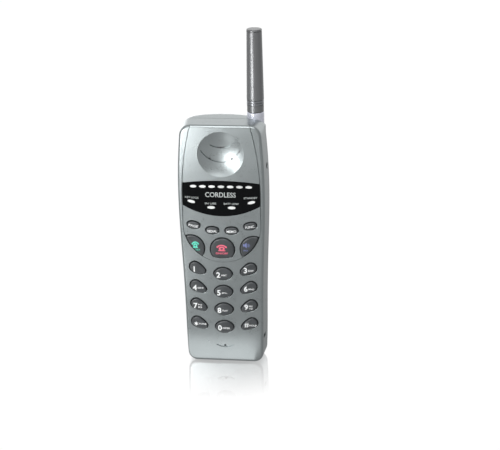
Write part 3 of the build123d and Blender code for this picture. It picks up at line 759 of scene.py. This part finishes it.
# ---------------------------------------------------------------- sub-assemblies
@dataclass
class Face:
    """The bowed face that the panel and the window share, in mm."""

    front: float = -16.0
    radius: float = 2200.0
    middle: float = 78.0

    def depth(self, x: np.ndarray, z: np.ndarray) -> np.ndarray:
        """Depth of the face: a circle of large radius along the height, the same across.

        Args:
            x: places across, in metres.
            z: places up, in metres.

        Returns:
            The face's y, in metres.
        """
        rise = z / MM - self.middle
        return (self.front + self.radius - np.sqrt(self.radius**2 - rise**2)) * MM + 0 * x


@dataclass
class Housing:
    """The two shells, the face panel and what shows through their openings."""

    silver: tuple[str, ...] = ("front_housing", "rear_housing", "face_panel")
    black: tuple[str, ...] = ("headset_jack", "board_connector")
    rubber: tuple[str, ...] = ("earpiece_gasket", "microphone_boot", "antenna_seal")

    def build(self) -> None:
        """Dress the shells and trims."""
        dress_nodes(Finish.SHELL, *self.silver)
        dress_nodes(Finish.BLACK, *self.black)
        dress_nodes(Finish.RUBBER, *self.rubber)
        dress_nodes(Finish.STEEL, "housing_screws", "strap_pin")
        dress_nodes(Finish.GOLD, "charge_contacts")


@dataclass
class Insides:
    """Boards, lamps and sound parts inside the shells."""

    def build(self) -> None:
        """Dress the inner pieces."""
        dress_nodes(Finish.BOARD, "main_board", "rf_board")
        dress_nodes(Finish.CHIP, "board_components")
        dress_nodes(Finish.TIN, "rf_shield_can")
        dress_nodes(Finish.SILICONE, "keypad_mat")
        dress_nodes(Finish.LENS, "lamp_leds")
        dress_nodes(Finish.ACRYLIC, "light_guide")
        dress_nodes(Finish.PRESSED, "earpiece_speaker", "microphone_capsule", "ringer_speaker")


@dataclass
class StatusWindow:
    """The gloss black window, its lamps and its plain printed words."""

    face: Face
    word: Print = Print("CORDLESS", -0.4, 116.9, 3.3, 19.6, 0.012, ink=Finish.WORD_INK)
    labels: tuple[Print, ...] = (
        Print("KEY LOCK", -18.8, 114.8, 1.25, 8.8, 0.01, -3.0, Finish.WORD_INK),
        Print("IN USE", -6.9, 111.0, 1.25, 7.2, 0.01, ink=Finish.WORD_INK),
        Print("BATT LOW", 6.4, 111.0, 1.25, 9.6, 0.01, ink=Finish.WORD_INK),
        Print("STANDBY", 18.8, 115.2, 1.25, 8.8, 0.01, 3.0, Finish.WORD_INK),
    )

    def build(self) -> None:
        """Dress the window and lamps and print the words."""
        dress_nodes(Finish.WINDOW, "status_window")
        dress_nodes(Finish.LENS, "lamp_row_lenses", "status_lamp_lenses")
        print_on("window_words", HOME, (self.word, *self.labels), self.face.depth)


@dataclass
class KeyCap:
    """A pillowed key cap on a lipped shank, over a CAD key's own outline."""

    node: str
    points: int = 72
    crown_round: float = 0.95  # how far in the rounded edge reaches
    crown_drop: float = 0.62  # how far it falls over that
    pillow: float = 0.16  # rise of the middle above the end of the rounded edge
    margin: float = 0.16  # how much slimmer the cap is than the CAD key
    sunk: float = 0.05  # how far the crown stays below the CAD key's
    shank_band: float = 1.2  # points this near the crown are the shank's outline
    lip_band: float = 0.2  # points this near the back are the lip's outline
    lip_bevel: tuple[float, float] = (0.35, 0.15)  # inset and height of the bevel at the lip's back
    lip_height: float = 0.85
    lip_slope: float = 0.05  # how much the lip's front rises from its rim to the shank
    shares: tuple[float, ...] = (0.82, 0.64, 0.46, 0.28, 0.12)  # rings of the middle, as shares of its edge

    def __post_init__(self) -> None:
        """Read the outlines, the depths and the middle from the CAD key, in mm."""
        cloud = node_points(self.node) / MM
        self.crown = cloud[:, 1].min() + self.sunk
        self.back = cloud[:, 1].max()
        self.shank = cloud[cloud[:, 1] < self.crown + self.shank_band][:, (0, 2)]
        self.lip = cloud[cloud[:, 1] > self.back - self.lip_band][:, (0, 2)]
        self.centre = (self.shank.min(0) + self.shank.max(0)) / 2

    def ring(self, outline: np.ndarray, inset: float, depth: float) -> np.ndarray:
        """One flat ring of points.

        Args:
            outline: points whose hull is the outline.
            inset: how far the ring lies inside it.
            depth: the ring's y.

        Returns:
            Its points.
        """
        angles = np.linspace(0, 2 * pi, self.points + 1)[:-1]
        reach = reach_of(outline, self.centre, inset, angles)
        x = self.centre[0] + reach * np.cos(angles)
        z = self.centre[1] + reach * np.sin(angles)
        return np.stack([x, np.full_like(x, depth), z], -1)

    def top(self, x: np.ndarray, z: np.ndarray) -> np.ndarray:
        """Depth of the pillowed middle: it falls with the square of the distance from the key's centre.

        Args:
            x: places across, in metres.
            z: places up, in metres.

        Returns:
            The cap's y, in metres.
        """
        half = (self.shank.max(0) - self.shank.min(0)) / 2 - self.crown_round
        u = (x / MM - self.centre[0]) / half[0]
        v = (z / MM - self.centre[1]) / half[1]
        return (self.crown + self.pillow * np.minimum(1.0, u * u + v * v)) * MM

    def build(self) -> None:
        """Make the cap from rings, back to front, and put it in the CAD key's place."""
        shoulder = self.crown + self.pillow
        bevel_inset, bevel_height = self.lip_bevel
        lip_front = self.back - self.lip_height
        rings = [
            self.ring(self.lip, bevel_inset, self.back),
            self.ring(self.lip, 0.0, self.back - bevel_height),
            self.ring(self.lip, 0.0, lip_front),
            self.ring(self.shank, self.margin, lip_front - self.lip_slope),
        ]
        for angle in np.linspace(0, pi / 2, 7):
            inset = self.margin + (self.crown_round - self.margin) * (1 - cos(angle))
            rings.append(self.ring(self.shank, inset, shoulder + self.crown_drop * (1 - sin(angle))))
        edge = self.ring(self.shank, self.crown_round, shoulder)
        middle = np.array([self.centre[0], 0.0, self.centre[1]])
        for share in self.shares:
            inner = middle + (edge - middle) * share
            inner[:, 1] = self.top(inner[:, 0] * MM, inner[:, 2] * MM) / MM
            rings.append(inner)
        piece = skin(self.node.replace("key_", "keycap_"), np.stack(rings) * MM)
        dress(piece, Finish.KEY)
        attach(piece, self.node)
        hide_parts(self.node)
        LOG.info("key cap %s", self.node)


@dataclass
class Keypad:
    """Nineteen keys and their printed legends, in mm."""

    digit: float = 3.9
    sign: float = 3.4  # height of the star and the hash
    small: float = 1.15  # height of the letters
    letter: float = 1.25  # width of one
    column: float = 4.0  # a key within half of this from the middle is in the middle column
    digit_from: tuple[float, ...] = (-2.1, -3.0, -1.9)  # from the key's centre, in the three columns
    digit_drop: float = 0.6
    bold: float = 0.03  # weight of a digit
    thin: float = 0.01  # weight of the hash, whose bars run together when bold
    letter_gap: float = 1.75  # from the digit's middle to the first letter
    letter_drop: float = 0.7
    row_gap: float = 1.75  # between two rows of letters
    pair_rise: float = 0.85  # how far the upper of two rows is lifted
    word_drop: float = 0.3
    word_size: tuple[float, float] = (1.7, 6.2)  # height and width
    word_turn: float = 11.0  # degrees that the outer words lean
    digits: dict[str, tuple[str | Symbol, ...]] = field(
        default_factory=lambda: {
            "key_1": ("1",),
            "key_2": ("2", "ABC"),
            "key_3": ("3", "DEF"),
            "key_4": ("4", "GHI"),
            "key_5": ("5", "JKL"),
            "key_6": ("6", "MNO"),
            "key_7": ("7", "PQ", "RS"),
            "key_8": ("8", "TUV"),
            "key_9": ("9", "WX", "YZ"),
            "key_star": (Symbol.STAR, "TONE"),
            "key_0": ("0", "OPER"),
            "key_hash": ("#", "HOLD"),
        }
    )
    words: dict[str, str] = field(
        default_factory=lambda: {
            "key_page": "PAGE",
            "key_redial": "REDIAL",
            "key_memo": "MEMO",
            "key_function": "FUNC.",
        }
    )

    def legend(self, cap: KeyCap, texts: tuple[str | Symbol, ...]) -> list[Print]:
        """Lay out a digit with its letters beside it.

        Args:
            cap: the key.
            texts: the digit or sign, then one or two rows of letters.

        Returns:
            The marks.
        """
        x, z = cap.centre
        left = x + self.digit_from[int(np.sign(round(x / self.column))) + 1]
        first, *rows = texts
        tall = self.sign if first in (Symbol.STAR, "#") else self.digit
        weight = self.thin if first == "#" else self.bold
        marks = [Print(first, left, z - self.digit_drop, tall, weight=weight)]
        rise = self.pair_rise if len(rows) > 1 else 0.0
        for row, word in enumerate(rows):
            width = self.letter * len(word)
            middle = left + self.letter_gap + width / 2
            up = z - self.letter_drop + rise - self.row_gap * row
            marks.append(Print(word, middle, up, self.small, width, 0.02))
        return marks

    def call_marks(self) -> dict[str, tuple[Print, ...]]:
        """Pictures and words of the three call keys.

        Returns:
            The marks of each key, by its node.
        """
        green, red, blue = Finish.GREEN_INK, Finish.RED_INK, Finish.BLUE_INK
        return {
            "key_talk": (
                Print(Symbol.PHONE, -17.4, 83.2, 4.5, 4.7, ink=green),
                Print("TALK", -15.9, 79.9, 1.0, 3.2, 0.01, ink=green),
            ),
            "key_power": (
                Print(Symbol.PHONE, -0.3, 81.4, 4.4, 6.8, ink=red),
                Print("ON/OFF", -0.3, 77.7, 1.3, 8.0, 0.02, ink=red),
            ),
            "key_speaker": (
                Print(Symbol.SPEAKER, 15.6, 83.6, 3.9, 4.1, ink=blue),
                Print("SPKR", 15.2, 80.0, 1.0, 3.2, 0.01, ink=blue),
            ),
        }

    def make(self, cap: KeyCap, marks: Sequence[Print]) -> None:
        """Build one cap and print on it."""
        cap.build()
        print_on(cap.node.replace("key_", "legend_"), cap.node, marks, cap.top)

    def build(self) -> None:
        """Make the digit keys, the small word keys and the call keys."""
        for node, texts in self.digits.items():
            cap = KeyCap(node)
            self.make(cap, self.legend(cap, texts))
        turns = {"key_page": -self.word_turn, "key_function": self.word_turn}
        for node, word in self.words.items():
            cap = KeyCap(node, crown_round=0.8)
            x, z = cap.centre
            mark = Print(word, x, z - self.word_drop, *self.word_size, 0.02, turns.get(node, 0.0))
            self.make(cap, [mark])
        for node, marks in self.call_marks().items():
            self.make(KeyCap(node, crown_round=1.1, pillow=0.2), marks)


@dataclass
class Antenna:
    """The stub antenna and its ferrule."""

    def build(self) -> None:
        """Dress the antenna."""
        dress_nodes(Finish.ANTENNA, "antenna_base", "antenna_sleeve", "antenna_cap")
        dress_nodes(Finish.FERRULE, "antenna_ferrule")
        dress_nodes(Finish.RING, "antenna_rings")
        dress_nodes(Finish.BRASS, "antenna_socket", "antenna_coil")
        dress_nodes(Finish.STEEL, "antenna_core")


@dataclass
class Battery:
    """The battery pack, its latch and its contacts."""

    def build(self) -> None:
        """Dress the battery pieces."""
        dress_nodes(Finish.BATTERY, "battery_shell", "battery_base", "battery_latch")
        dress_nodes(Finish.GOLD, "battery_terminals", "battery_contacts")
        dress_nodes(Finish.BLACK, "latch_catch")
        dress_nodes(Finish.STEEL, "latch_spring")
        dress_nodes(Finish.CELL, "battery_cells")


# ---------------------------------------------------------------- stage
@dataclass
class Softbox:
    """A rectangular studio light aimed at a point, sizes and places in metres."""

    name: str
    place: tuple[float, float, float]
    size: tuple[float, float]
    power: float
    aim: tuple[float, float, float] = (0.0, 0.0, 0.1)

    def build(self) -> None:
        """Add the light."""
        lamp = bpy.data.lights.new(self.name, "AREA")
        lamp.shape = "RECTANGLE"
        lamp.size, lamp.size_y = self.size
        lamp.energy = self.power
        thing = bpy.data.objects.new(self.name, lamp)
        thing.visible_camera = False
        bpy.context.scene.collection.objects.link(thing)
        place = Vector(self.place)
        turn = (Vector(self.aim) - place).to_track_quat("-Z", "Y")
        thing.matrix_world = Matrix.LocRotScale(place, turn, None)


@dataclass
class Stage:
    """White glossy floor, white surroundings, softboxes and the camera; angles in degrees, lens in mm."""

    azimuth: float = 7.53
    elevation: float = 20.0
    roll: float = -1.13
    distance: float = 0.852
    lens: float = 96.3
    aim: tuple[float, float, float] = (0.01816, -0.016, 0.0972)
    floor_radius: float = 6.0
    floor_drop: tuple[float, float] = (0.02, 0.0002)  # depth of the floor's underside and of its top
    floor_glow: float = 1.02
    mirror: float = 0.62  # how much of the floor is mirror
    mirror_fade: tuple[float, float] = (0.02, 0.068)  # distance from the middle over which it fades
    sweep_from: tuple[float, float] = (0.2, 0.6)  # where the white sweep starts and is full, along +Y
    front_level: float = 0.32
    back_level: float = 1.0
    low_from: tuple[float, float] = (-0.4, 0.05)  # where the sweep fades out below the horizon
    low_share: float = 0.04
    softboxes: tuple[Softbox, ...] = (
        Softbox("key_light", (-0.11, -0.225, 0.13), (0.08, 0.08), 0.23, (-0.02, -0.016, 0.15)),
        Softbox("dish_light", (-0.15, -0.2, 0.18), (0.07, 0.07), 0.04, (0.0, -0.016, 0.144)),
        Softbox("left_light", (-0.07, -0.124, 0.02), (0.035, 0.05), 0.012, (-0.02, -0.016, 0.06)),
        Softbox("antenna_light", (-0.25, -0.3, 0.15), (0.08, 0.3), 0.12, (0.02, 0.004, 0.2)),
        Softbox("top_light", (0.0, -0.35, 0.5), (0.3, 0.3), 1.1),
        Softbox("floor_glow", (-0.016, -0.031, 0.001), (0.07, 0.03), 0.0065, (-0.016, -0.031, 1.0)),
        Softbox("back_light", (-0.2, 0.7, 0.05), (0.4, 0.4), 0.7),
    )

    def camera(self) -> None:
        """Place the camera on a sphere about the aim point, with a slight roll."""
        a, e, r = radians(self.azimuth), radians(self.elevation), radians(self.roll)
        back = Vector((sin(a) * cos(e), -cos(a) * cos(e), sin(e)))
        level = Vector((cos(a), sin(a), 0.0))
        upright = back.cross(level)
        right = cos(r) * level + sin(r) * upright
        up = cos(r) * upright - sin(r) * level
        data = bpy.data.cameras.new("camera")
        data.lens = self.lens
        data.sensor_width = 36.0
        data.clip_start = 0.01
        thing = bpy.data.objects.new("camera", data)
        bpy.context.scene.collection.objects.link(thing)
        turn = Matrix((right, up, back)).transposed()
        thing.matrix_world = Matrix.Translation(Vector(self.aim) + back * self.distance) @ turn.to_4x4()
        bpy.context.scene.camera = thing

    def floor(self) -> None:
        """A wide glowing white disc, seen only by the camera, with a mirror that fades outwards."""
        angles = np.linspace(0, 2 * pi, 97)[:-1]
        rim = np.stack([np.cos(angles), np.sin(angles), 0 * angles], -1) * self.floor_radius
        disc = skin("floor", np.stack([rim - [0, 0, drop] for drop in self.floor_drop]))
        s = Shader("white_floor", WHITE[:3], Metallic=1.0)
        glow = s.node("ShaderNodeEmission", {}, {"Color": WHITE, "Strength": self.floor_glow})
        away = s.node("ShaderNodeVectorMath", {"operation": "LENGTH"}, [s.place()], "Value")
        fade = s.spread(away, 1.0, 0.0, *self.mirror_fade)
        share = fade * s.spread(s.noise(0.05), self.mirror - 0.02, self.mirror + 0.02, *NOISE_RANGE)
        s.roughness(s.spread(s.noise(0.02), 0.05, 0.09, *NOISE_RANGE))
        mixed = s.node("ShaderNodeMixShader", {}, [share, glow, Value(s, s.principled.outputs[0])])
        s.join(mixed, s.tree.nodes["Material Output"].inputs["Surface"])
        disc.data.materials.append(s.material)
        disc.visible_glossy = False
        disc.visible_diffuse = False

    def surroundings(self) -> None:
        """A white sweep behind the object and dim light in front; the camera sees white all round."""
        scene = bpy.context.scene
        world = bpy.data.worlds.new("studio")
        world.use_nodes = True
        tree = world.node_tree

        def add(kind: str, settings: dict[str, Any], *inputs: Any) -> Any:
            """Add a node of the world.

            Args:
                kind: the node's type.
                settings: attributes, set before the sockets.
                *inputs: links or numbers for its sockets, in order.

            Returns:
                Its outputs.
            """
            made = tree.nodes.new(kind)
            for key, value in settings.items():
                setattr(made, key, value)
            for socket, value in zip(made.inputs, inputs):
                if isinstance(value, bpy.types.NodeSocket):
                    tree.links.new(value, socket)
                else:
                    socket.default_value = value
            return made.outputs

        direction = add("ShaderNodeTexCoord", {})["Generated"]
        axes = add("ShaderNodeSeparateXYZ", {}, direction)
        spread = self.back_level - self.front_level
        sweep = add("ShaderNodeMapRange", {}, axes["Y"], *self.sweep_from, 0.0, spread)[0]
        height = add("ShaderNodeMapRange", {}, axes["Z"], *self.low_from, self.low_share, 1.0)[0]
        seen = add("ShaderNodeLightPath", {})["Is Camera Ray"]
        lit = add("ShaderNodeMath", {"operation": "MULTIPLY_ADD"}, sweep, height, self.front_level)[0]
        level = add("ShaderNodeMath", {"operation": "MAXIMUM"}, lit, seen)[0]
        background = tree.nodes["Background"]
        background.inputs["Color"].default_value = WHITE
        tree.links.new(level, background.inputs["Strength"])
        scene.world = world
        scene.view_settings.view_transform = "Standard"
        scene.view_settings.look = "None"

    def build(self) -> None:
        """Set the stage."""
        self.camera()
        self.floor()
        self.surroundings()
        for softbox in self.softboxes:
            softbox.build()


def main() -> None:
    """Build every sub-assembly in order."""
    logging.basicConfig(level=logging.INFO, format="%(name)s: %(message)s")
    for part in (Stage(), Housing(), Insides(), StatusWindow(Face()), Keypad(), Antenna(), Battery()):
        LOG.info("building %s", type(part).__name__)
        part.build()


if __name__ == "__main__":
    main()
